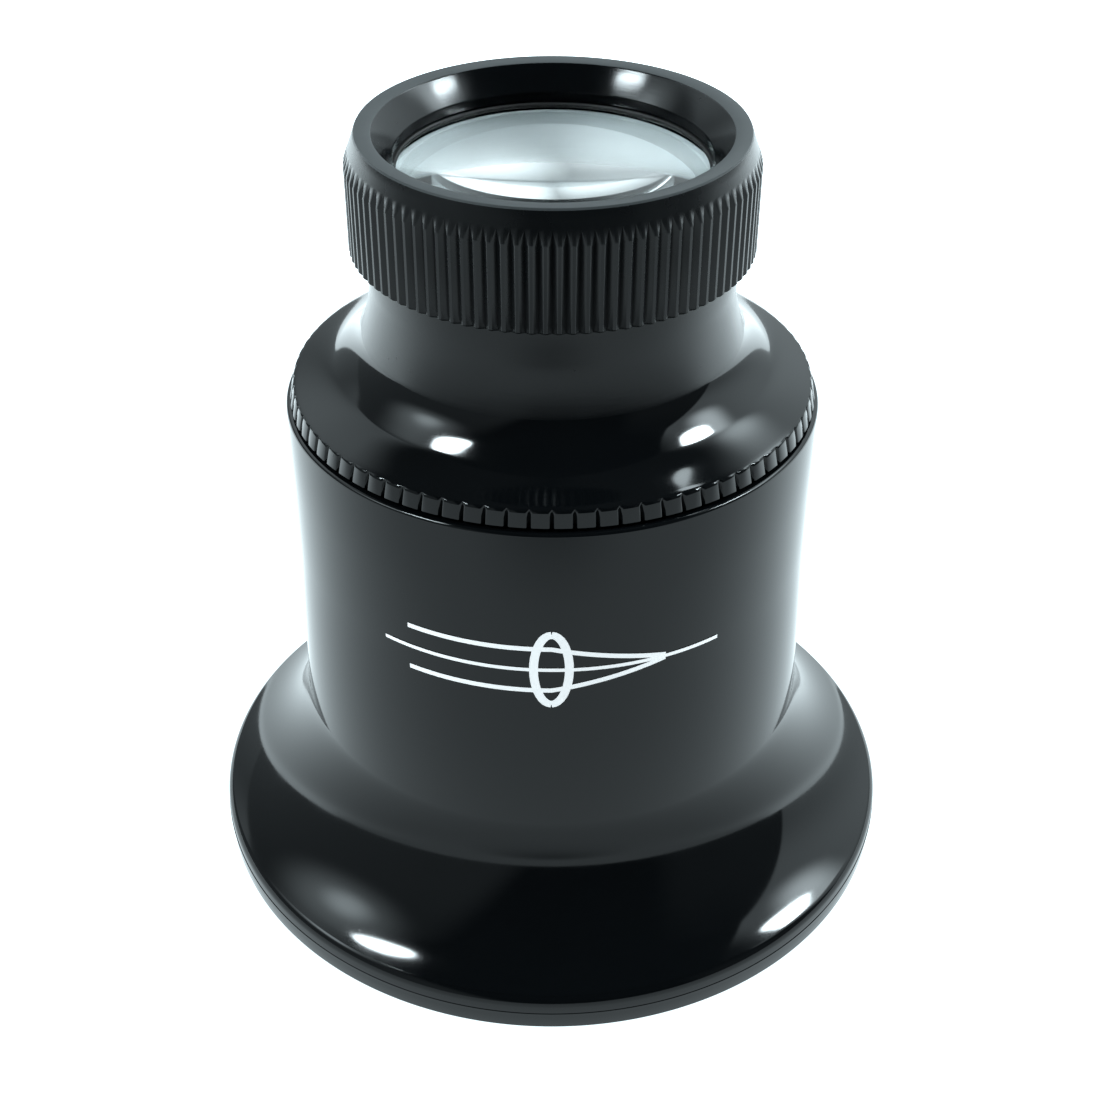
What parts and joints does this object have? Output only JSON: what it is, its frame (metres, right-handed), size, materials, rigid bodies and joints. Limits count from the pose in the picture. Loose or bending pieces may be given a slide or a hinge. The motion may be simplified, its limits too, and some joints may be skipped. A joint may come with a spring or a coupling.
{
  "type": "jewelers loupe",
  "caption": "Black eye loupe for watch and jewellery work: flared eyecup, ribbed screw-in lens holder and knurled screw cap over glass lenses.",
  "frame": {"origin": "middle of the eye flange's flat underside", "axes": "+Z along the optical axis, from the eye towards the work; X and Y across it"},
  "size_m": [0.038, 0.038, 0.0407],
  "materials": {
    "eyecup_plastic": "glossy black moulding",
    "holder_plastic": "glossy black moulding with a satin neck",
    "cap_plastic": "satin black with a matt rim",
    "blackened_ring": "matt black against stray light",
    "pale_spacer": "light grey satin tube, seen through the front lens",
    "lens_glass": "polished optical glass"
  },
  "bodies": {
    "eyecup": {"eyecup_body": "eyecup_plastic"},
    "rear_optics": {"rear_lens": "lens_glass", "stop_ring": "blackened_ring", "lens_spacer": "pale_spacer"},
    "holder": {"lens_holder": "holder_plastic"},
    "front_optics": {"front_lens": "lens_glass", "front_clamp_ring": "blackened_ring"},
    "cap": {"retaining_cap": "cap_plastic"}
  },
  "joints": [
    {"name": "holder_lift", "type": "slide", "parent": "eyecup", "child": "rear_optics", "axis": [0, 0, 1], "range_m": [0, 0.00525]},
    {"name": "holder_turn", "type": "hinge", "parent": "rear_optics", "child": "holder", "pos_m": [0, 0, 0.0235], "axis": [0, 0, 1], "range_deg": [0, 1260]},
    {"name": "cap_lift", "type": "slide", "parent": "holder", "child": "front_optics", "axis": [0, 0, 1], "range_m": [0, 0.00169]},
    {"name": "cap_turn", "type": "hinge", "parent": "front_optics", "child": "cap", "pos_m": [0, 0, 0.036], "axis": [0, 0, 1], "range_deg": [0, 810]}
  ],
  "couplings": [
    {"joint": "holder_lift", "follows": "holder_turn", "m_per_rad": 0.00023873},
    {"joint": "cap_lift", "follows": "cap_turn", "m_per_rad": 0.00011937}
  ]
}
